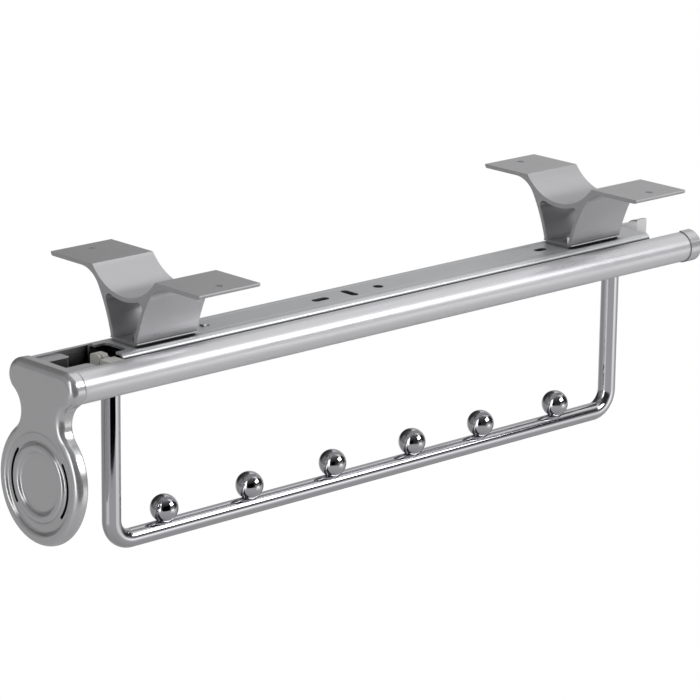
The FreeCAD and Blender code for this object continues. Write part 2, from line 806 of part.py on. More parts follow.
def hanger_bar():
    """Round bar bent to a wide U, screwed under the body's floor by its two tapped ends."""
    y0 = at(bar_setback)
    y1 = y0 + bar_span
    bend = bar_bend_radius
    tilt = bend * (1 - math.cos(math.radians(45)))
    path = Part.Wire([
        Part.makeLine(Vector(0, y0, floor_under), Vector(0, y0, bar_axis_z + bend)),
        Part.Arc(Vector(0, y0, bar_axis_z + bend), Vector(0, y0 + tilt, bar_axis_z + tilt),
                 Vector(0, y0 + bend, bar_axis_z)).toShape(),
        Part.makeLine(Vector(0, y0 + bend, bar_axis_z), Vector(0, y1 - bend, bar_axis_z)),
        Part.Arc(Vector(0, y1 - bend, bar_axis_z), Vector(0, y1 - tilt, bar_axis_z + tilt),
                 Vector(0, y1, bar_axis_z + bend)).toShape(),
        Part.makeLine(Vector(0, y1, bar_axis_z + bend), Vector(0, y1, floor_under)),
    ])
    section = Part.Wire(Part.makeCircle(bar_radius, Vector(0, y0, floor_under), Vector(0, 0, 1)))
    solid = path.makePipeShell([section], True, True)
    for y in (y0, y1):
        solid = solid.cut(post(0, y, floor_under - bar_screw_depth, floor_under + 1, screw_d + 2 * screw_gap))
    for setback in stop_ball_setbacks:
        top = bar_axis_z + bar_radius
        hole_d = spigot_d + 2 * spigot_gap
        solid = solid.cut(post(0, at(setback), top - spigot_depth, top + 1, hole_d))
    return solid


def stop_ball(setback):
    """Ball with a saddle that sits on the bar, and a spigot that is pressed into it."""
    y = at(setback)
    centre_z = bar_axis_z + stop_ball_rise
    ball = Part.makeSphere(stop_ball_r, Vector(0, y, centre_z))
    ball = ball.cut(rod_y(0, bar_axis_z, y - 2 * stop_ball_r, y + 2 * stop_ball_r, bar_radius))
    bottom = bar_axis_z + bar_radius - spigot_depth + spigot_end_gap
    return ball.fuse(post(0, y, bottom, centre_z, spigot_d))


def bar_screw(y):
    """Pan-head screw through the inner channel and the body's floor into the end of the bar."""
    seat = floor_top + inner_web
    head = post(0, y, seat, seat + pan_head_height, pan_head_d)
    rim = [e for e in head.Edges if abs(e.BoundBox.ZMin - (seat + pan_head_height)) < 0.01]
    head = head.makeFillet(pan_head_round, rim)
    return head.fuse(post(0, y, floor_under - bar_screw_depth + bar_screw_end_gap, seat, screw_d))


def channel_rivet(y):
    """Rivet that holds the inner channel to the body's floor."""
    seat = floor_top + inner_web
    head = post(0, y, seat, seat + rivet_tail_height, pan_head_d)
    tail = post(0, y, floor_under - rivet_tail_height, floor_under, rivet_tail_d)
    return head.fuse(post(0, y, floor_under, seat, screw_d)).fuse(tail)


def front_buffer():
    """Moulded stop block ahead of the slide, with a groove round it and an arm that lies along the near wall."""
    y1 = at(inner_setback) - buffer_channel_gap
    y0 = y1 - buffer_length
    half = buffer_half_width
    top = floor_top + buffer_height
    solid = block(-half, half, y0, y1, floor_top, top)
    shoulders = [e for e in edges_along_y(solid) if e.CenterOfMass.z > top - 0.01]
    solid = solid.makeFillet(buffer_round, shoulders)
    groove_y = y0 + buffer_groove_offset
    groove = block(-half - 1, half + 1, groove_y, groove_y + buffer_groove_width,
                   floor_top + buffer_foot_height, top + 1)
    depth = buffer_groove_depth
    core = block(-half + depth, half - depth, groove_y - 1, groove_y + buffer_groove_width + 1,
                 floor_top, top - depth)
    solid = solid.cut(groove.cut(core))
    arm_x1 = trough_half_width - prong_clearance
    arm_x0 = arm_x1 - buffer_arm_width
    arm_y1 = at(channel_setback) - buffer_channel_gap
    arm_top = tube_z + tube_radius - buffer_arm_drop
    arm_under = arm_top - buffer_arm_depth
    arm = block(arm_x0, arm_x1, arm_y1 - buffer_arm_length, arm_y1, arm_under, arm_top)
    web = block(0, arm_x1, y1 - buffer_web_length, y1, arm_under, arm_top - buffer_web_drop)
    return solid.fuse(arm).fuse(web).removeSplitter()


def rear_stop():
    """Rubber block under the web at the back of the fixed channel, behind the middle channel."""
    y1 = at(channel_setback + channel_length)
    half = outer_ball_x - rear_stop_side_gap
    solid = block(-half, half, y1 - rear_stop_length, y1, web_under - rear_stop_height, web_under)
    return solid.makeFillet(rear_stop_round, [e for e in edges_along_y(solid) if e.CenterOfMass.z < web_under - 1])


write("bracket_front", bracket(-bracket_spacing / 2))
write("bracket_rear", bracket(bracket_spacing / 2))
for place, y_mid in (("front", -bracket_spacing / 2), ("rear", bracket_spacing / 2)):
    spots = bracket_screw_places(y_mid)
    write("bracket_screws_" + place, *[bracket_screw(x, y) for x, y in spots])
    write("bracket_nuts_" + place, *[nut(x, y) for x, y in spots])

write("fixed_channel", fixed_channel())
write("rear_stop", rear_stop())
write("middle_channel", middle_channel())
write("inner_channel", inner_channel())

outer_rows = ball_row(outer_cage_setback, outer_cage_length, outer_balls_per_side, outer_ball_margin)
inner_rows = ball_row(inner_cage_setback, inner_cage_length, inner_balls_per_side, inner_ball_margin)
write("outer_ball_cage", cage(
    outer_ball_x, outer_cage_top, outer_ball_z - outer_ball_r - cage_wall,
    at(outer_cage_setback), at(outer_cage_setback + outer_cage_length),
    [(y, outer_ball_z) for y in outer_rows], outer_ball_r + cage_hole_gap))
write("outer_balls", *balls(outer_ball_x, outer_ball_z, outer_ball_r, outer_rows))
write("inner_ball_cage", cage(
    inner_ball_x, inner_cage_top, inner_ball_z - inner_ball_r - cage_wall,
    at(inner_cage_setback), at(inner_cage_setback + inner_cage_length),
    [(y, inner_ball_z) for y in inner_rows], inner_ball_r + cage_hole_gap))
write("inner_balls", *balls(inner_ball_x, inner_ball_z, inner_ball_r, inner_rows))

write("body_profile", body_profile())
write("handle_plate", handle_plate())
write("plate_screws", *[plate_screw(x, y) for x, y in plate_screw_places()])
write("rear_cap", rear_cap())
write("rear_cap_screws", cap_screw(-1), cap_screw(1))
write("hanger_bar", hanger_bar())
write("bar_screws", bar_screw(at(bar_setback)), bar_screw(at(bar_setback + bar_span)))
write("channel_rivets", *[channel_rivet(at(setback)) for setback in rivet_setbacks])
write("front_buffer", front_buffer())
for number, setback in enumerate(stop_ball_setbacks, start=1):
    write("stop_ball_%d" % number, stop_ball(setback))
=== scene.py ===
"""Product picture of a pull-out wardrobe rail: its finishes, its bright parts, the studio and the camera."""

import json
import logging
import math
from dataclasses import dataclass, field
from enum import Enum
from typing import Any, Sequence

import bpy
from mathutils import Matrix, Vector

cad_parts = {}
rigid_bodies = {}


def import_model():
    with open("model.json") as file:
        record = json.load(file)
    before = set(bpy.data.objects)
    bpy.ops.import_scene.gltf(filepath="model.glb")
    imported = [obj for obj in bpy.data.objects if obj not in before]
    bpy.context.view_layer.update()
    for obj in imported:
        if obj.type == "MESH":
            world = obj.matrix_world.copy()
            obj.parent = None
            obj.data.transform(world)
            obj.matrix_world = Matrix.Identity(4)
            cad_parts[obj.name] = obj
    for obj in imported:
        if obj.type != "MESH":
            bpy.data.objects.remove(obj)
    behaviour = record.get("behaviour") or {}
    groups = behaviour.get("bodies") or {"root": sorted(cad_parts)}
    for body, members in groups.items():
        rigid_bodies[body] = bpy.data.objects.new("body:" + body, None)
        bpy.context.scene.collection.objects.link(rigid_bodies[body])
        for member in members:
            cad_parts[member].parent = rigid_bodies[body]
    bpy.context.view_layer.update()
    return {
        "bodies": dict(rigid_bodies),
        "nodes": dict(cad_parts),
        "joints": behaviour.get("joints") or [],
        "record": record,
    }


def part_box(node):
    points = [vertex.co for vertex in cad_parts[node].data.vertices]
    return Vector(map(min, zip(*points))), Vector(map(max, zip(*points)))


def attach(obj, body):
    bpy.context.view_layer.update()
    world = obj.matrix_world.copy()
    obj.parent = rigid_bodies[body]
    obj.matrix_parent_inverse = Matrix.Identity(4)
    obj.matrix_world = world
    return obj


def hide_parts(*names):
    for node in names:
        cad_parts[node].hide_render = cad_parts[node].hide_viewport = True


LOG = logging.getLogger("clothes_rail")
MM = 0.001
QUARTER_TURN = math.radians(90)
# Rotations of a piece that is made along Z: left as it is, or turned to lie along Y
UPRIGHT = (0.0, 0.0, 0.0)
TURNED_BACK = (QUARTER_TURN, 0.0, 0.0)

# Steps that stand for a round shape
BAR_STEPS = 72
BAR_BEND_STEPS = 24
BALL_STEPS = 72
BALL_RINGS = 40
LATHE_STEPS = 144
HEAD_STEPS = 48
HEAD_RINGS = 24
SHANK_STEPS = 32
# An edge that turns more than this stays sharp
SHARP_TURN_DEG = 35.0

BAR_BEND_MM = 12.0
PLATE_SCREW_HEAD_MM = 7.4
# A pan-head screw, as shares of the radius of its head
HEAD_HEIGHT_SHARE = 0.65
SHANK_RADIUS_SHARE = 0.54
CROSS_LENGTH_SHARE = 1.1
CROSS_WIDTH_SHARE = 0.24
DOME_RADIUS_SHARE = 1.1
# The height of a screw's dome, as a share of its radius
DOME_FLATNESS = 0.55

# The grip's disc on the handle plate, before the plate leans about its pivot
PLATE_LEAN_DEG = 2.2
PLATE_PIVOT_MM = (0.0, -222.5, -47.8)
DISC_CENTRE_MM = (0.0, -232.0, -99.8)
LATHE_RADIUS_MM = 20.0
# Sections of the two raised rings: radius, and depth under the disc's face
RING_SECTION_MM = (
    (14.2, 2.6), (14.2, 1.86), (14.8, 1.76), (15.2, 1.6), (15.5, 1.34), (15.8, 0.98), (16.1, 0.6),
    (16.5, 0.28), (17.0, 0.08), (17.7, 0.0), (18.6, 0.0), (19.3, 0.1), (19.8, 0.34), (20.15, 0.7),
    (20.45, 1.1), (20.75, 1.42), (21.2, 1.64), (21.7, 1.76), (21.7, 2.6),
)
RIM_SECTION_MM = (
    (24.9, 2.5), (24.9, 1.8), (25.1, 1.69), (25.4, 1.52), (25.7, 1.3), (26.0, 0.95), (26.35, 0.55),
    (26.7, 0.25), (27.1, 0.06), (27.6, -0.01), (28.3, -0.01), (28.3, 1.5),
)

# The part of a noise pattern's range that holds nearly all of its values
NOISE_RANGE = (0.3, 0.7)
# How open a point is to its surroundings, from the depth of a hollow to a free face, which sets how much
# painted shade it gets
PAINTED_SHADE_OPEN_RANGE = (0.3, 0.85)
PAINTED_SHADE_SAMPLES = 12
# Painted shade: the near-black colour that a metal's colour is mixed towards in hollows
PAINTED_SHADE_COLOUR = (0.004, 0.004, 0.004, 1.0)
# A face whose direction lies this much along Y is a sawn end
SAWN_SHARE = 0.9
LEAST_ROUGHNESS = 0.01
WHITE = (1.0, 1.0, 1.0, 1.0)
# A colour mix shares the names of its sockets with other kinds of mix, so they go by number
MIX_FACTOR = 0
MIX_FIRST = 6
MIX_SECOND = 7
MIX_RESULT = 2


class Body(Enum):
    """The body of the model that the remade pieces move with."""

    CARRIAGE = "carriage"


class Slot(Enum):
    """The material slots of the model."""

    BRACKET_ALUMINIUM = "bracket_aluminium"
    RAIL_ALUMINIUM = "rail_aluminium"
    SATIN_CHROME = "satin_chrome"
    BRIGHT_CHROME = "bright_chrome"
    ZINC_STEEL = "zinc_steel"
    ZINC_SCREWS = "zinc_screws"
    BALL_STEEL = "ball_steel"
    GREY_PLASTIC = "grey_plastic"
    BLACK_RUBBER = "black_rubber"


def linear(colour: str) -> tuple[float, float, float, float]:
    """Turns an sRGB hex value into a linear colour.

    Args:
        colour: The colour as "#RRGGBB".

    Returns:
        Linear red, green and blue, and an alpha of 1.
    """
    values = []
    for start in (1, 3, 5):
        share = int(colour[start:start + 2], 16) / 255
        values.append(share / 12.92 if share <= 0.04045 else ((share + 0.055) / 1.055) ** 2.4)
    return values[0], values[1], values[2], 1.0


def add_node(
    tree: bpy.types.NodeTree,
    kind: str,
    inputs: dict[str | int, Any] | None = None,
    **settings: Any,
) -> bpy.types.Node:
    """Adds a node to a tree, with its settings and links.

    Args:
        tree: The tree that gets the node.
        kind: The node's type name.
        inputs: Input names or numbers, each with a socket to link from or a value.
        **settings: Properties of the node itself.

    Returns:
        The new node.
    """
    node = tree.nodes.new(kind)
    for name, value in settings.items():
        setattr(node, name, value)
    for name, value in (inputs or {}).items():
        if isinstance(value, bpy.types.NodeSocket):
            tree.links.new(value, node.inputs[name])
        else:
            node.inputs[name].default_value = value
    return node


def map_range(
    tree: bpy.types.NodeTree,
    value: bpy.types.NodeSocket,
    source: tuple[float, float],
    target: tuple[float, float],
    **settings: Any,
) -> bpy.types.NodeSocket:
    """Maps a value from one range to another.

    Args:
        tree: The tree that gets the node.
        value: The socket with the value.
        source: The range that the value comes in.
        target: The range that it goes out in.
        **settings: Properties of the node itself.

    Returns:
        The socket that gives the mapped value.
    """
    limits = {"From Min": source[0], "From Max": source[1], "To Min": target[0], "To Max": target[1]}
    return add_node(tree, "ShaderNodeMapRange", {"Value": value, **limits}, **settings).outputs["Result"]


def noise(
    tree: bpy.types.NodeTree, place: bpy.types.NodeSocket, scale: float, detail: float
) -> bpy.types.NodeSocket:
    """Makes a noise pattern.

    Args:
        tree: The tree that gets the node.
        place: The socket with the place on the surface.
        scale: How often the pattern repeats over one unit of place.
        detail: How many finer layers it has.

    Returns:
        The socket that gives the pattern's value.
    """
    return add_node(
        tree, "ShaderNodeTexNoise", {"Vector": place, "Scale": scale, "Detail": detail}
    ).outputs["Fac"]


def relief(
    tree: bpy.types.NodeTree, height: bpy.types.NodeSocket, depth_mm: float
) -> bpy.types.NodeSocket:
    """Gives a surface fine relief.

    Args:
        tree: The tree that gets the node.
        height: The socket with the relief's height, as a share of its depth.
        depth_mm: The relief's depth.

    Returns:
        The socket that gives the surface's direction.
    """
    return add_node(
        tree, "ShaderNodeBump", {"Height": height, "Strength": 1.0, "Distance": depth_mm * MM}
    ).outputs["Normal"]


def empty_material(name: str) -> bpy.types.Material:
    """Makes a material that has no nodes yet.

    Args:
        name: The material's name.

    Returns:
        The material.
    """
    material = bpy.data.materials.new(name)
    material.use_nodes = True
    material.node_tree.nodes.clear()
    return material


@dataclass(frozen=True)
class Metal:
    """A metal finish with fine lines along one axis and a slow change of gloss.

    An etched or anodised skin scatters some of the light, which metallic leaves to the base colour.
    The sawn ends of an extrusion face along Y, and are rougher than its drawn sides.
    Hollows narrower than a set reach get painted shade: the colour darkens there, down to a set share of the
    metal's own colour.
    """

    name: str
    colour: str
    roughness: float
    metallic: float = 1.0
    roughness_spread: float = 0.05
    line_pitch_mm: tuple[float, float, float] = (0.5, 40.0, 0.5)
    line_depth_mm: float = 0.004
    patch_mm: float = 12.0
    sawn_roughness: float = 0.0
    line_gloss: float = 0.0
    painted_shade_reach_mm: float = 20.0
    painted_shade_least: float = 0.03

    def build(self) -> bpy.types.Material:
        """Makes the material of this finish.

        Returns:
            The material, with its nodes.
        """
        material = empty_material(self.name)
        tree = material.node_tree
        coordinates = add_node(tree, "ShaderNodeTexCoord")
        place = coordinates.outputs["Object"]
        line_scale = [1 / (pitch * MM) for pitch in self.line_pitch_mm]
        stretch = add_node(tree, "ShaderNodeMapping", {"Vector": place, "Scale": line_scale})
        lines = noise(tree, stretch.outputs["Vector"], scale=1.0, detail=2.0)
        patches = noise(tree, place, scale=1 / (self.patch_mm * MM), detail=3.0)
        glossiest = max(self.roughness - self.roughness_spread, LEAST_ROUGHNESS)
        gloss = map_range(tree, patches, NOISE_RANGE, (glossiest, self.roughness + self.roughness_spread))
        streaks = map_range(tree, lines, NOISE_RANGE, (-self.line_gloss, self.line_gloss))
        roughness = add_node(tree, "ShaderNodeMath", {0: gloss, 1: streaks}).outputs["Value"]
        if self.sawn_roughness:
            roughness = self.roughen_ends(tree, coordinates.outputs["Normal"], roughness)
        shader = add_node(
            tree,
            "ShaderNodeBsdfPrincipled",
            {
                "Base Color": self.painted_shade_colour(tree),
                "Metallic": self.metallic,
                "Roughness": roughness,
                "Normal": relief(tree, lines, self.line_depth_mm),
            },
        )
        add_node(tree, "ShaderNodeOutputMaterial", {"Surface": shader.outputs["BSDF"]})
        return material

    def roughen_ends(
        self, tree: bpy.types.NodeTree, normal: bpy.types.NodeSocket, drawn: bpy.types.NodeSocket
    ) -> bpy.types.NodeSocket:
        """Gives the sawn ends of an extrusion a roughness of their own.

        Args:
            tree: The material's node tree.
            normal: The socket with the surface's direction.
            drawn: The socket with the roughness of the drawn sides.

        Returns:
            The socket that gives the roughness of the whole piece.
        """
        facing = add_node(tree, "ShaderNodeSeparateXYZ", {"Vector": normal})
        along = add_node(tree, "ShaderNodeMath", {0: facing.outputs["Y"]}, operation="ABSOLUTE")
        sawn = add_node(
            tree, "ShaderNodeMath", {0: along.outputs["Value"], 1: SAWN_SHARE}, operation="GREATER_THAN"
        )
        return add_node(
            tree, "ShaderNodeMix", {"Factor": sawn.outputs["Value"], "A": drawn, "B": self.sawn_roughness}
        ).outputs["Result"]

    def painted_shade_colour(self, tree: bpy.types.NodeTree) -> bpy.types.NodeSocket:
        """Paints shade into the metal's colour: it darkens it in narrow hollows, where less light reaches.

        Args:
            tree: The material's node tree.

        Returns:
            The socket that gives the colour.
        """
        # Painted shade: ambient occlusion mixes the colour towards near-black in hollows
        hollow = add_node(
            tree, "ShaderNodeAmbientOcclusion", {"Distance": self.painted_shade_reach_mm * MM}, samples=PAINTED_SHADE_SAMPLES
        )
        open_share = map_range(tree, hollow.outputs["AO"], PAINTED_SHADE_OPEN_RANGE, (self.painted_shade_least, 1.0))
        return add_node(
            tree,
            "ShaderNodeMix",
            {MIX_FACTOR: open_share, MIX_FIRST: PAINTED_SHADE_COLOUR, MIX_SECOND: linear(self.colour)},
            data_type="RGBA",
        ).outputs[MIX_RESULT]


@dataclass(frozen=True)
class Moulding:
    """A moulded plastic or rubber with a fine grain."""

    name: str
    colour: str
    roughness: float
    grain_mm: float = 0.6
    grain_depth_mm: float = 0.01

    def build(self) -> bpy.types.Material:
        """Makes the material of this finish.

        Returns:
            The material, with its nodes.
        """
        material = empty_material(self.name)
        tree = material.node_tree
        place = add_node(tree, "ShaderNodeTexCoord").outputs["Object"]
        grain = noise(tree, place, scale=1 / (self.grain_mm * MM), detail=3.0)
        shader = add_node(
            tree,
            "ShaderNodeBsdfPrincipled",
            {
                "Base Color": linear(self.colour),
                "Roughness": self.roughness,
                "Normal": relief(tree, grain, self.grain_depth_mm),
            },
        )
        add_node(tree, "ShaderNodeOutputMaterial", {"Surface": shader.outputs["BSDF"]})
        return material


# Every metal finish below paints shade into its hollows, with its own reach and darkest share
SLOT_FINISHES: dict[Slot, Metal | Moulding] = {
    # Extruded and matt-anodised aluminium: soft, broad highlights with faint lines along the extrusion
    Slot.BRACKET_ALUMINIUM: Metal(
        "matt_anodised_bracket_aluminium", "#CCCCCE", 0.31, 0.86, 0.015, (1.0, 60.0, 1.0), 0.001,
        sawn_roughness=0.5, line_gloss=0.025, painted_shade_reach_mm=6.0
    ),
    # The same on the rail, with clearer lines, and with painted shade that goes black at the bottom of its
    # trough
    Slot.RAIL_ALUMINIUM: Metal(
        "satin_anodised_rail_aluminium", "#D6D6D9", 0.34, 0.6, 0.02, (1.2, 90.0, 1.2), 0.001,
        sawn_roughness=0.45, line_gloss=0.07, painted_shade_reach_mm=26.0, painted_shade_least=0.0
    ),
    # Chrome plate over a blasted casting: it mirrors softly, the same in all directions
    Slot.SATIN_CHROME: Metal(
        "satin_chrome_plate", "#DADADC", 0.25, 0.8, 0.02, (0.4, 0.4, 0.4), 0.0003
    ),
    # Chrome plate over polished steel: a clear mirror
    Slot.BRIGHT_CHROME: Metal(
        "bright_chrome_plate", "#D6D6DA", 0.09, 1.0, 0.01, (2.0, 2.0, 2.0), 0.0, 20.0,
        painted_shade_reach_mm=2.0, painted_shade_least=0.8
    ),
    # Rolled steel with bright zinc plate, and the lines of the rolling
    Slot.ZINC_STEEL: Metal(
        "bright_zinc_rolled_steel", "#D2D3D5", 0.34, 0.7, 0.05, (0.6, 30.0, 0.6), 0.0012
    ),
    # Headed steel with bright zinc plate: smaller patches and an even grain
    Slot.ZINC_SCREWS: Metal(
        "bright_zinc_screw_steel", "#D0D1D4", 0.26, 0.7, 0.05, (0.8, 0.8, 0.8), 0.001, 3.0,
        painted_shade_reach_mm=1.5, painted_shade_least=0.3
    ),
    # Ground and polished ball steel, without plate
    Slot.BALL_STEEL: Metal(
        "polished_ball_steel", "#CFCFD2", 0.08, 1.0, 0.01, (2.0, 2.0, 2.0), 0.0002, 5.0
    ),
    # Acetal, warm grey, with the fine grain of its mould
    Slot.GREY_PLASTIC: Moulding("moulded_grey_acetal", "#B4B3AE", 0.4),
    # Matt rubber, nearly black
    Slot.BLACK_RUBBER: Moulding("moulded_black_rubber", "#1C1C1C", 0.7),
}

# Painted shade: a darker, duller copy of the zinc-plated steel on the nodes inside the slide, standing for
# the shade in there
SHADED_INNER_STEEL = Metal("painted_shade_zinc_rolled_steel", "#77787A", 0.42, 0.9, 0.05, (0.6, 30.0, 0.6), 0.0015)
SHADED_INNER_NODES = ("middle_channel", "inner_channel", "outer_ball_cage", "inner_ball_cage")


@dataclass
class Wardrobe:
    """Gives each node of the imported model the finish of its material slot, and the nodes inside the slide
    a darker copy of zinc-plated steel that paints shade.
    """

    frame: dict[str, Any]
    materials: dict[Slot, bpy.types.Material] = field(default_factory=dict)

    def build(self) -> None:
        """Makes the materials and puts them on the nodes."""
        for slot, finish in SLOT_FINISHES.items():
            self.materials[slot] = finish.build()
        shaded_inner_steel_material = SHADED_INNER_STEEL.build()
        slots = {entry["node"]: Slot(entry["material_slot"]) for entry in self.frame["record"]["subparts"]}
        for name, node in self.frame["nodes"].items():
            # Painted shade: the nodes inside the slide take the darker copy of zinc-plated steel
            finish = shaded_inner_steel_material if name in SHADED_INNER_NODES else self.materials[slots[name]]
            node.data.materials.clear()
            node.data.materials.append(finish)
            LOG.info("node %s takes %s", name, finish.name)


class Recipe:
    """A Geometry Nodes tree with named inputs that makes one mesh from a few points."""

    def __init__(self, name: str) -> None:
        """Starts an empty tree with the points as its first input.

        Args:
            name: The name of the piece that it makes.
        """
        self.name = name
        self.tree = bpy.data.node_groups.new(name, "GeometryNodeTree")
        self.tree.interface.new_socket("Points", in_out="INPUT", socket_type="NodeSocketGeometry")
        self.tree.interface.new_socket("Mesh", in_out="OUTPUT", socket_type="NodeSocketGeometry")
        self.entry = self.tree.nodes.new("NodeGroupInput")
        self.values: dict[str, Any] = {}

    @property
    def points(self) -> bpy.types.NodeSocket:
        """The points that the piece is made from."""
        return self.entry.outputs["Points"]

    def add_input(self, name: str, value: Any, kind: str = "NodeSocketFloat") -> bpy.types.NodeSocket:
        """Adds a named input.

        Args:
            name: The input's name.
            value: What it is set to.
            kind: The type name of its socket.

        Returns:
            The socket that gives the value inside the tree.
        """
        entry = self.tree.interface.new_socket(name, in_out="INPUT", socket_type=kind)
        self.values[entry.identifier] = value
        return self.entry.outputs[name]

    def add(self, kind: str, inputs: dict[str | int, Any] | None = None, **settings: Any) -> bpy.types.Node:
        """Adds a node to the recipe's tree.

        Args:
            kind: The node's type name.
            inputs: Input names or numbers, each with a socket to link from or a value.
            **settings: Properties of the node itself.

        Returns:
            The new node.
        """
        return add_node(self.tree, kind, inputs, **settings)

    def product(self, first: bpy.types.NodeSocket, second: float) -> bpy.types.NodeSocket:
        """Multiplies a value by a number.

        Args:
            first: The socket with the value.
            second: The number.

        Returns:
            The socket that gives the product.
        """
        return self.add("ShaderNodeMath", {0: first, 1: second}, operation="MULTIPLY").outputs["Value"]

    def raised(
        self, mesh: bpy.types.NodeSocket, height: bpy.types.NodeSocket, flatness: float = 1.0
    ) -> bpy.types.NodeSocket:
        """Moves a mesh along Z, and flattens it where asked.

        Args:
            mesh: The socket with the mesh.
            height: The socket with the distance to move it.
            flatness: Its height afterwards, as a share of its height before.

        Returns:
            The socket that gives the moved mesh.
        """
        place = self.add("ShaderNodeCombineXYZ", {"Z": height}).outputs["Vector"]
        return self.add(
            "GeometryNodeTransform", {"Geometry": mesh, "Translation": place, "Scale": (1.0, 1.0, flatness)}
        ).outputs["Geometry"]

    def combined(
        self,
        operation: str,
        meshes: Sequence[bpy.types.NodeSocket],
        base: bpy.types.NodeSocket | None = None,
    ) -> bpy.types.NodeSocket:
        """Combines solid meshes.

        Args:
            operation: "INTERSECT" or "DIFFERENCE".
            meshes: The sockets with the meshes that are combined, or taken away from the base.
            base: The socket with the mesh that they are taken away from.

        Returns:
            The socket that gives the combined mesh.
        """
        node = self.add("GeometryNodeMeshBoolean", {"Mesh 1": base} if base else None, operation=operation)
        for mesh in meshes:
            self.tree.links.new(mesh, node.inputs["Mesh 2"])
        return node.outputs["Mesh"]

    def make(
        self, geometry: bpy.types.NodeSocket, points: Sequence[Vector], finish: bpy.types.Material
    ) -> bpy.types.Object:
        """Runs the tree once and keeps its result as a plain mesh.

        Args:
            geometry: The socket that gives the finished shape.
            points: Places that go in as loose points.
            finish: The material of the piece.

        Returns:
            The object, at the origin, without modifiers.
        """
        real = self.add("GeometryNodeRealizeInstances", {"Geometry": geometry}).outputs["Geometry"]
        coated = self.add("GeometryNodeSetMaterial", {"Geometry": real, "Material": finish})
        self.add("NodeGroupOutput", {"Mesh": coated.outputs["Geometry"]})
        base = bpy.data.meshes.new(self.name + "_points")
        base.from_pydata([tuple(point) for point in points], [], [])
        piece = bpy.data.objects.new(self.name, base)
        bpy.context.scene.collection.objects.link(piece)
        modifier = piece.modifiers.new("recipe", "NODES")
        modifier.node_group = self.tree
        for identifier, value in self.values.items():
            modifier[identifier] = value
        graph = bpy.context.evaluated_depsgraph_get()
        mesh = bpy.data.meshes.new_from_object(piece.evaluated_get(graph), depsgraph=graph)
        piece.modifiers.clear()
        piece.data = mesh
        mesh.name = self.name
        mesh.shade_smooth()
        mesh.set_sharp_from_angle(angle=math.radians(SHARP_TURN_DEG))
        return piece


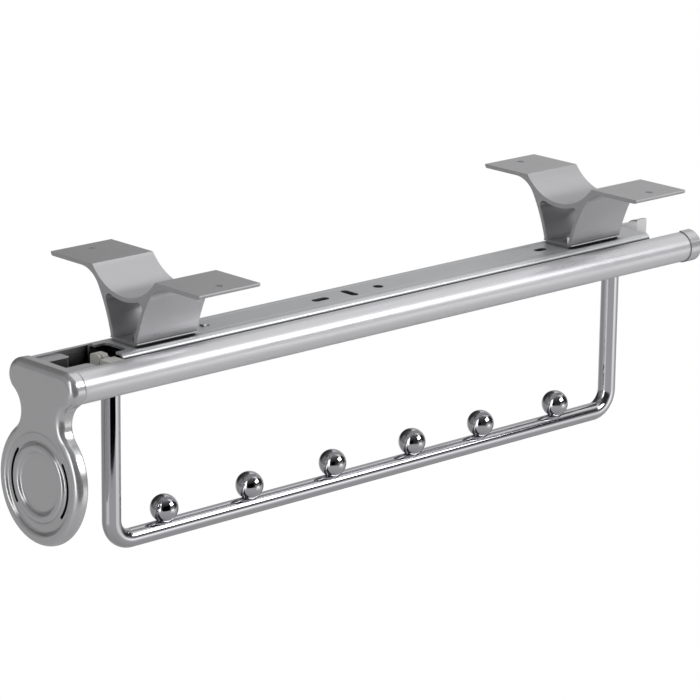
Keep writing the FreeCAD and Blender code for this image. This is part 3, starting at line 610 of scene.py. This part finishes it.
@dataclass
class Carriage:
    """The turned and bent parts of the moving rail, and the rings on its handle plate."""

    frame: dict[str, Any]
    materials: dict[Slot, bpy.types.Material]

    def build(self) -> None:
        """Makes the bar, its balls, the rings of the grip and the screw heads that show."""
        self.build_bar()
        self.build_stop_balls()
        self.build_grip_rings()
        self.build_screws()

    def hand_over(self, piece: bpy.types.Object, slot: Slot, *nodes: str) -> None:
        """Lets a piece stand for nodes of the carriage.

        Args:
            piece: The finished piece.
            slot: The material slot that the piece's finish comes from; not used here.
            *nodes: The nodes that it stands for.
        """
        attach(piece, Body.CARRIAGE.value)
        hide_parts(*nodes)
        LOG.info("%s stands for %s", piece.name, ", ".join(nodes))

    def build_bar(self) -> None:
        """Bends the round bar to its wide U and gives it an even section through the bends."""
        low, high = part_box("hanger_bar")
        radius = (high.x - low.x) / 2
        recipe = Recipe("bent_hanger_bar")
        section = recipe.add_input("Bar radius", radius)
        bend = recipe.add_input("Bend radius", BAR_BEND_MM * MM)
        front = low.y + radius
        back = high.y - radius
        axis = low.z + radius
        corners = {
            "Front end": (0.0, front, high.z),
            "Front bend": (0.0, front, axis),
            "Rear bend": (0.0, back, axis),
            "Rear end": (0.0, back, high.z),
        }
        sockets = [recipe.add_input(name, place, "NodeSocketVector") for name, place in corners.items()]
        path = recipe.add(
            "GeometryNodeCurvePrimitiveQuadrilateral",
            {"Point %d" % number: socket for number, socket in enumerate(sockets, start=1)},
            mode="POINTS",
        )
        opened = recipe.add(
            "GeometryNodeSetSplineCyclic", {"Geometry": path.outputs["Curve"], "Cyclic": False}
        )
        bent = recipe.add(
            "GeometryNodeFilletCurve",
            {"Curve": opened.outputs["Geometry"], "Radius": bend, "Count": BAR_BEND_STEPS},
            mode="POLY",
        )
        ring = recipe.add("GeometryNodeCurvePrimitiveCircle", {"Resolution": BAR_STEPS, "Radius": section})
        swept = recipe.add(
            "GeometryNodeCurveToMesh",
            {"Curve": bent.outputs["Curve"], "Profile Curve": ring.outputs["Curve"], "Fill Caps": True},
        )
        bar = recipe.make(swept.outputs["Mesh"], [], self.materials[Slot.BRIGHT_CHROME])
        self.hand_over(bar, Slot.BRIGHT_CHROME, "hanger_bar")

    def build_stop_balls(self) -> None:
        """Sets a ball with a hollow seat on the bar at each stop."""
        bar_low, bar_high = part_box("hanger_bar")
        bar_radius = (bar_high.x - bar_low.x) / 2
        nodes = sorted(name for name in self.frame["nodes"] if name.startswith("stop_ball_"))
        boxes = [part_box(name) for name in nodes]
        radius = (boxes[0][1].x - boxes[0][0].x) / 2
        centres = [Vector((0.0, (low.y + high.y) / 2, high.z - radius)) for low, high in boxes]
        seat_place = (0.0, 0.0, bar_low.z + bar_radius - centres[0].z)
        recipe = Recipe("stop_balls")
        ball_size = recipe.add_input("Ball radius", radius)
        bar_size = recipe.add_input("Bar radius", bar_radius)
        seat_drop = recipe.add_input("Seat under centre", seat_place, "NodeSocketVector")
        ball = recipe.add(
            "GeometryNodeMeshUVSphere", {"Segments": BALL_STEPS, "Rings": BALL_RINGS, "Radius": ball_size}
        )
        rod_length = 4 * radius
        rod = recipe.add(
            "GeometryNodeMeshCylinder", {"Vertices": BAR_STEPS, "Radius": bar_size, "Depth": rod_length}
        )
        seat = recipe.add(
            "GeometryNodeTransform",
            {"Geometry": rod.outputs["Mesh"], "Translation": seat_drop, "Rotation": TURNED_BACK},
        )
        seated = recipe.combined("DIFFERENCE", [seat.outputs["Geometry"]], ball.outputs["Mesh"])
        row = recipe.add("GeometryNodeInstanceOnPoints", {"Points": recipe.points, "Instance": seated})
        balls = recipe.make(row.outputs["Instances"], centres, self.materials[Slot.BRIGHT_CHROME])
        self.hand_over(balls, Slot.BRIGHT_CHROME, *nodes)

    def build_grip_rings(self) -> None:
        """Lays the raised ring and the lip of the rim on the grip's disc."""
        lean = Matrix.Rotation(math.radians(-PLATE_LEAN_DEG), 4, "X")
        pivot = Vector(PLATE_PIVOT_MM) * MM
        centre = pivot + lean @ (Vector(DISC_CENTRE_MM) * MM - pivot)
        turn = (math.radians(90 - PLATE_LEAN_DEG), 0.0, 0.0)
        for name, section in (("grip_ring", RING_SECTION_MM), ("grip_rim_lip", RIM_SECTION_MM)):
            recipe = Recipe(name)
            radius = recipe.add_input("Lathe radius", LATHE_RADIUS_MM * MM)
            place = recipe.add_input("Disc centre", centre, "NodeSocketVector")
            rotation = recipe.add_input("Turn", turn, "NodeSocketVector")
            cloud = recipe.add("GeometryNodeMeshToPoints", {"Mesh": recipe.points})
            outline = recipe.add("GeometryNodePointsToCurves", {"Points": cloud.outputs["Points"]})
            closed = recipe.add(
                "GeometryNodeSetSplineCyclic", {"Geometry": outline.outputs["Curves"], "Cyclic": True}
            )
            path = recipe.add(
                "GeometryNodeCurvePrimitiveCircle", {"Resolution": LATHE_STEPS, "Radius": radius}
            )
            turned = recipe.add(
                "GeometryNodeCurveToMesh",
                {"Curve": path.outputs["Curve"], "Profile Curve": closed.outputs["Geometry"]},
            )
            stood = recipe.add(
                "GeometryNodeTransform",
                {"Geometry": turned.outputs["Mesh"], "Translation": place, "Rotation": rotation},
            )
            points = [Vector(((r - LATHE_RADIUS_MM) * MM, depth * MM, 0.0)) for r, depth in section]
            ring = recipe.make(stood.outputs["Geometry"], points, self.materials[Slot.SATIN_CHROME])
            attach(ring, Body.CARRIAGE.value)
            LOG.info("%s lies on the handle plate", ring.name)

    def build_screws(self) -> None:
        """Makes the cross-head screws under the handle plate and in the rear cap."""
        low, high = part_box("plate_screws")
        radius = PLATE_SCREW_HEAD_MM * MM / 2
        middle = (low.y + high.y) / 2
        seats = [Vector((x, middle, low.z)) for x in (low.x + radius, high.x - radius)]
        length = high.z - low.z
        self.build_screw_pair("plate_cross_screws", "plate_screws", seats, UPRIGHT, radius, length)
        low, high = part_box("rear_cap_screws")
        radius = (high.z - low.z) / 2
        seats = [Vector((x, high.y, (low.z + high.z) / 2)) for x in (low.x + radius, high.x - radius)]
        length = high.y - low.y
        self.build_screw_pair("rear_cap_cross_screws", "rear_cap_screws", seats, TURNED_BACK, radius, length)

    def build_screw_pair(
        self,
        name: str,
        node: str,
        places: Sequence[Vector],
        turn: tuple[float, float, float],
        head_radius: float,
        length: float,
    ) -> None:
        """Makes two equal pan-head screws with a cross in the head.

        Args:
            name: The piece's name.
            node: The node that it stands for.
            places: Where the tops of the heads are.
            turn: Rotation of a screw whose head points down.
            head_radius: Radius of the head.
            length: The whole screw, with its head.
        """
        recipe = Recipe(name)
        width = recipe.add_input("Head radius", head_radius)
        head_height = HEAD_HEIGHT_SHARE * head_radius
        height = recipe.add_input("Head height", head_height)
        shank_radius = recipe.add_input("Shank radius", SHANK_RADIUS_SHARE * head_radius)
        shank_length = recipe.add_input("Shank length", length - head_height)
        cross_length = recipe.add_input("Cross length", CROSS_LENGTH_SHARE * head_radius)
        cross_width = recipe.add_input("Cross width", CROSS_WIDTH_SHARE * head_radius)
        rotation = recipe.add_input("Turn", turn, "NodeSocketVector")
        disc = recipe.add(
            "GeometryNodeMeshCylinder", {"Vertices": HEAD_STEPS, "Radius": width, "Depth": height}
        )
        head = recipe.raised(disc.outputs["Mesh"], recipe.product(height, 0.5))
        dome_size = recipe.product(width, DOME_RADIUS_SHARE)
        dome = recipe.add(
            "GeometryNodeMeshUVSphere", {"Segments": HEAD_STEPS, "Rings": HEAD_RINGS, "Radius": dome_size}
        )
        dome_rise = recipe.product(dome_size, DOME_FLATNESS)
        flat_dome = recipe.raised(dome.outputs["Mesh"], dome_rise, DOME_FLATNESS)
        rounded = recipe.combined("INTERSECT", [head, flat_dome])
        slots = []
        for first, second in ((cross_length, cross_width), (cross_width, cross_length)):
            size = recipe.add("ShaderNodeCombineXYZ", {"X": first, "Y": second, "Z": height})
            slot = recipe.add("GeometryNodeMeshCube", {"Size": size.outputs["Vector"]})
            slots.append(slot.outputs["Mesh"])
        crossed = recipe.combined("DIFFERENCE", slots, rounded)
        stem = recipe.add(
            "GeometryNodeMeshCylinder",
            {"Vertices": SHANK_STEPS, "Radius": shank_radius, "Depth": shank_length},
        )
        stem_rise = recipe.add(
            "ShaderNodeMath", {0: shank_length, 1: 0.5, 2: height}, operation="MULTIPLY_ADD"
        )
        shank = recipe.raised(stem.outputs["Mesh"], stem_rise.outputs["Value"])
        screw = recipe.add("GeometryNodeJoinGeometry")
        for part in (crossed, shank):
            recipe.tree.links.new(part, screw.inputs["Geometry"])
        row = recipe.add(
            "GeometryNodeInstanceOnPoints",
            {"Points": recipe.points, "Instance": screw.outputs["Geometry"], "Rotation": rotation},
        )
        pair = recipe.make(row.outputs["Instances"], places, self.materials[Slot.ZINC_SCREWS])
        self.hand_over(pair, Slot.ZINC_SCREWS, node)


@dataclass(frozen=True)
class Panel:
    """A light or dark part of the studio room, as polished metal sees it from the rail.

    Its place, its size and the softness of its edges are angles in degrees.
    """

    azimuth: float
    elevation: float
    half_width: float
    half_height: float
    softness: float
    light: float


# Azimuths count from +X towards +Y. A later panel stands before an earlier one.
ROOM_PANELS = (
    # left side of the table, which the lamp doesn't reach
    Panel(-152.0, -32.0, 36.0, 26.0, 14.0, 0.31),
    # table in front of the lamp, and its brightest part
    Panel(40.0, -18.0, 22.0, 8.0, 7.0, 0.8),
    Panel(33.0, -8.0, 12.0, 7.0, 4.0, 1.4),
    # pale backdrop, low behind the rail
    Panel(160.0, -19.0, 20.0, 9.0, 9.0, 0.6),
    # black curtain behind the rail: it draws the dark outlines of the polished parts
    Panel(133.0, -25.0, 15.0, 16.0, 7.0, 0.13),
    # dim wall on the left, and the lighter wall round its window
    Panel(-118.0, 18.0, 34.0, 24.0, 10.0, 0.2),
    Panel(-96.0, 12.0, 12.0, 14.0, 6.0, 0.45),
    # light from the window on the table, and the window
    Panel(-82.0, -17.0, 16.0, 7.0, 5.0, 0.7),
    Panel(-75.0, 18.0, 8.0, 29.0, 4.0, 2.6),
    # wall behind the rail
    Panel(119.0, 10.0, 24.0, 22.0, 10.0, 0.5),
    # white ceiling over the back of the table
    Panel(92.0, 54.0, 46.0, 18.0, 8.0, 0.85),
    # glow on the ceiling over the lamp, and on the wall under it
    Panel(30.0, 67.0, 14.0, 6.0, 4.0, 0.35),
    Panel(30.0, 2.0, 24.0, 6.0, 5.0, 0.32),
)

# Light of the room by elevation in degrees, where no panel stands
STRAIGHT_UP_DEG = 90.0
ROOM_LEVELS = (
    (-90.0, 0.31), (-60.0, 0.37), (-30.0, 0.42), (-11.0, 0.44), (-5.0, 0.1),
    (4.0, 0.03), (30.0, 0.03), (45.0, 0.06), (60.0, 0.11), (76.0, 0.19), (90.0, 0.2),
)


@dataclass
class Studio:
    """Floor, world, lamps and camera. Lengths are in metres.

    The black card stands at flag_x. Its lower corners are at the (y, z) of flag_front and flag_back, and
    its upper edge is at the height of the shelf.
    """

    floor_z: float = -0.42
    floor_size: float = 8.0
    floor_colour: str = "#E6E6E6"
    camera_place: tuple[float, float, float] = (1.34441, -1.26929, 0.45147)
    camera_forward: tuple[float, float, float] = (-0.70505, 0.65454, -0.27292)
    camera_roll_deg: float = 0.68
    camera_lens_mm: float = 182.45
    camera_sensor_mm: float = 36.0
    camera_reach: float = 50.0
    backdrop_light: float = 1.0
    plain_light: float = 0.85
    softbox_azimuth: float = 33.0
    softbox_elevation: float = 28.0
    softbox_distance: float = 1.6
    softbox_size: tuple[float, float] = (0.89, 0.60)
    softbox_light: float = 5.6
    flag_x: float = 0.215
    flag_front: tuple[float, float] = (-0.420, -0.205)
    flag_back: tuple[float, float] = (-0.105, -0.148)
    flag_colour: str = "#050505"

    def build(self) -> None:
        """Builds everything round the object."""
        self.build_camera()
        self.build_world()
        self.build_floor()
        self.build_softbox()
        self.build_flag()
        bpy.context.scene.view_settings.view_transform = "Standard"

    def build_camera(self) -> None:
        """Sets the camera where the photograph was taken from."""
        forward = Vector(self.camera_forward).normalized()
        level_right = forward.cross(Vector((0, 0, 1))).normalized()
        level_up = level_right.cross(forward)
        roll = math.radians(self.camera_roll_deg)
        right = level_right * math.cos(roll) + level_up * math.sin(roll)
        up = level_up * math.cos(roll) - level_right * math.sin(roll)
        camera = bpy.data.objects.new("camera", bpy.data.cameras.new("camera"))
        camera.data.sensor_width = self.camera_sensor_mm
        camera.data.lens = self.camera_lens_mm
        camera.data.clip_end = self.camera_reach
        turn = Matrix((right, up, -forward)).transposed().to_4x4()
        camera.matrix_world = Matrix.Translation(Vector(self.camera_place)) @ turn
        bpy.context.scene.collection.objects.link(camera)
        bpy.context.scene.camera = camera

    def build_world(self) -> None:
        """Makes the studio room: white to the camera, even to matt surfaces, and with its walls to metal."""
        world = bpy.data.worlds.new("studio_room")
        bpy.context.scene.world = world
        world.use_nodes = True
        tree = world.node_tree
        tree.nodes.clear()
        rays = add_node(tree, "ShaderNodeLightPath")
        white, plain, room = (
            add_node(tree, "ShaderNodeBackground", {"Color": WHITE, "Strength": light}).outputs["Background"]
            for light in (self.backdrop_light, self.plain_light, self.room_light(tree))
        )
        matt_or_room = add_node(
            tree, "ShaderNodeMixShader", {0: rays.outputs["Is Diffuse Ray"], 1: room, 2: plain}
        )
        mixed = add_node(
            tree,
            "ShaderNodeMixShader",
            {0: rays.outputs["Is Camera Ray"], 1: matt_or_room.outputs["Shader"], 2: white},
        )
        add_node(tree, "ShaderNodeOutputWorld", {"Surface": mixed.outputs["Shader"]})

    def room_light(self, tree: bpy.types.NodeTree) -> bpy.types.NodeSocket:
        """Works out the room's light in each direction.

        Args:
            tree: The world's node tree.

        Returns:
            The socket that gives the light.
        """
        direction = add_node(tree, "ShaderNodeTexCoord").outputs["Generated"]
        unit = add_node(tree, "ShaderNodeVectorMath", {0: direction}, operation="NORMALIZE")
        axes = add_node(tree, "ShaderNodeSeparateXYZ", {"Vector": unit.outputs["Vector"]})
        elevation = add_node(
            tree, "ShaderNodeMath", {0: axes.outputs["Z"]}, operation="ARCSINE"
        ).outputs["Value"]
        azimuth = add_node(
            tree, "ShaderNodeMath", {0: axes.outputs["Y"], 1: axes.outputs["X"]}, operation="ARCTAN2"
        ).outputs["Value"]
        share = map_range(tree, elevation, (-QUARTER_TURN, QUARTER_TURN), (0.0, 1.0))
        levels = add_node(tree, "ShaderNodeFloatCurve", {"Value": share})
        curve = levels.mapping.curves[0]
        first, last = ROOM_LEVELS[0], ROOM_LEVELS[-1]
        curve.points[0].location = (0.0, first[1])
        curve.points[1].location = (1.0, last[1])
        for angle, level in ROOM_LEVELS[1:-1]:
            curve.points.new((angle + STRAIGHT_UP_DEG) / (2 * STRAIGHT_UP_DEG), level)
        for point in curve.points:
            point.handle_type = "VECTOR"
        levels.mapping.update()
        light = levels.outputs["Value"]
        for panel in ROOM_PANELS:
            light = self.add_panel(tree, panel, azimuth, elevation, light)
        return light

    def add_panel(
        self,
        tree: bpy.types.NodeTree,
        panel: Panel,
        azimuth: bpy.types.NodeSocket,
        elevation: bpy.types.NodeSocket,
        under: bpy.types.NodeSocket,
    ) -> bpy.types.NodeSocket:
        """Puts one panel with soft edges over the light that is there.

        Args:
            tree: The world's node tree.
            panel: The panel.
            azimuth: The direction's azimuth, in radians.
            elevation: Its angle over the horizon, in radians.
            under: The light without the panel.

        Returns:
            The socket with the panel's light mixed in.
        """
        soft = math.radians(panel.softness)
        shares = []
        for angle, middle, half in (
            (azimuth, panel.azimuth, panel.half_width),
            (elevation, panel.elevation, panel.half_height),
        ):
            offset = add_node(
                tree, "ShaderNodeMath", {0: angle, 1: math.radians(middle)}, operation="SUBTRACT"
            ).outputs["Value"]
            turn = add_node(tree, "ShaderNodeMath", {0: offset, 1: -math.pi, 2: math.pi}, operation="WRAP")
            away = add_node(tree, "ShaderNodeMath", {0: turn.outputs["Value"]}, operation="ABSOLUTE")
            edge = (math.radians(half) - soft, math.radians(half) + soft)
            shares.append(
                map_range(tree, away.outputs["Value"], edge, (1.0, 0.0), interpolation_type="SMOOTHSTEP")
            )
        covered = add_node(
            tree, "ShaderNodeMath", {0: shares[0], 1: shares[1]}, operation="MULTIPLY"
        ).outputs["Value"]
        mixed = add_node(tree, "ShaderNodeMix", {"Factor": covered, "A": under, "B": panel.light})
        return mixed.outputs["Result"]

    def build_floor(self) -> None:
        """Lays the pale floor well below the rail, where it only throws light up."""
        half = self.floor_size / 2
        corners = [(-half, -half), (half, -half), (half, half), (-half, half)]
        self.build_sheet(
            "floor",
            [(x, y, self.floor_z) for x, y in corners],
            "matt_white_floor",
            self.floor_colour,
            ("visible_camera", "visible_glossy"),
        )

    def build_flag(self) -> None:
        """Stands a black card beside the handle, which only shows in polished metal."""
        (front, front_z), (back, back_z) = self.flag_front, self.flag_back
        corners = [(front, front_z), (back, back_z), (back, 0.0), (front, 0.0)]
        self.build_sheet(
            "black_card",
            [(self.flag_x, y, z) for y, z in corners],
            "black_card",
            self.flag_colour,
            ("visible_camera", "visible_diffuse", "visible_shadow"),
        )

    def build_sheet(
        self,
        name: str,
        corners: Sequence[tuple[float, float, float]],
        finish_name: str,
        colour: str,
        unseen_by: Sequence[str],
    ) -> None:
        """Makes a flat matt sheet that isn't part of the object.

        Args:
            name: The sheet's name.
            corners: Its four corners in order.
            finish_name: The name of its material.
            colour: Its colour as "#RRGGBB".
            unseen_by: The object's switches for the rays that pass through the sheet.
        """
        mesh = bpy.data.meshes.new(name)
        mesh.from_pydata(corners, [], [(0, 1, 2, 3)])
        sheet = bpy.data.objects.new(name, mesh)
        for switch in unseen_by:
            setattr(sheet, switch, False)
        bpy.context.scene.collection.objects.link(sheet)
        material = empty_material(finish_name)
        matt = add_node(material.node_tree, "ShaderNodeBsdfDiffuse", {"Color": linear(colour)})
        add_node(material.node_tree, "ShaderNodeOutputMaterial", {"Surface": matt.outputs["BSDF"]})
        mesh.materials.append(material)

    def build_softbox(self) -> None:
        """Hangs the one large soft lamp, to the right of the rail and above it."""
        turn = math.radians(self.softbox_azimuth)
        rise = math.radians(self.softbox_elevation)
        aim = Vector((math.cos(rise) * math.cos(turn), math.cos(rise) * math.sin(turn), math.sin(rise)))
        data = bpy.data.lights.new("softbox", "AREA")
        data.shape = "RECTANGLE"
        data.size, data.size_y = self.softbox_size
        data.energy = self.softbox_light * math.pi * data.size * data.size_y
        lamp = bpy.data.objects.new("softbox", data)
        lamp.location = aim * self.softbox_distance
        lamp.rotation_mode = "QUATERNION"
        lamp.rotation_quaternion = (-aim).to_track_quat("-Z", "Y")
        bpy.context.scene.collection.objects.link(lamp)


def main() -> None:
    """Builds the scene, piece by piece."""
    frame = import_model()
    wardrobe = Wardrobe(frame)
    wardrobe.build()
    Carriage(frame, wardrobe.materials).build()
    Studio().build()


if __name__ == "__main__":
    logging.basicConfig(level=logging.INFO, format="%(name)s: %(message)s")
    main()
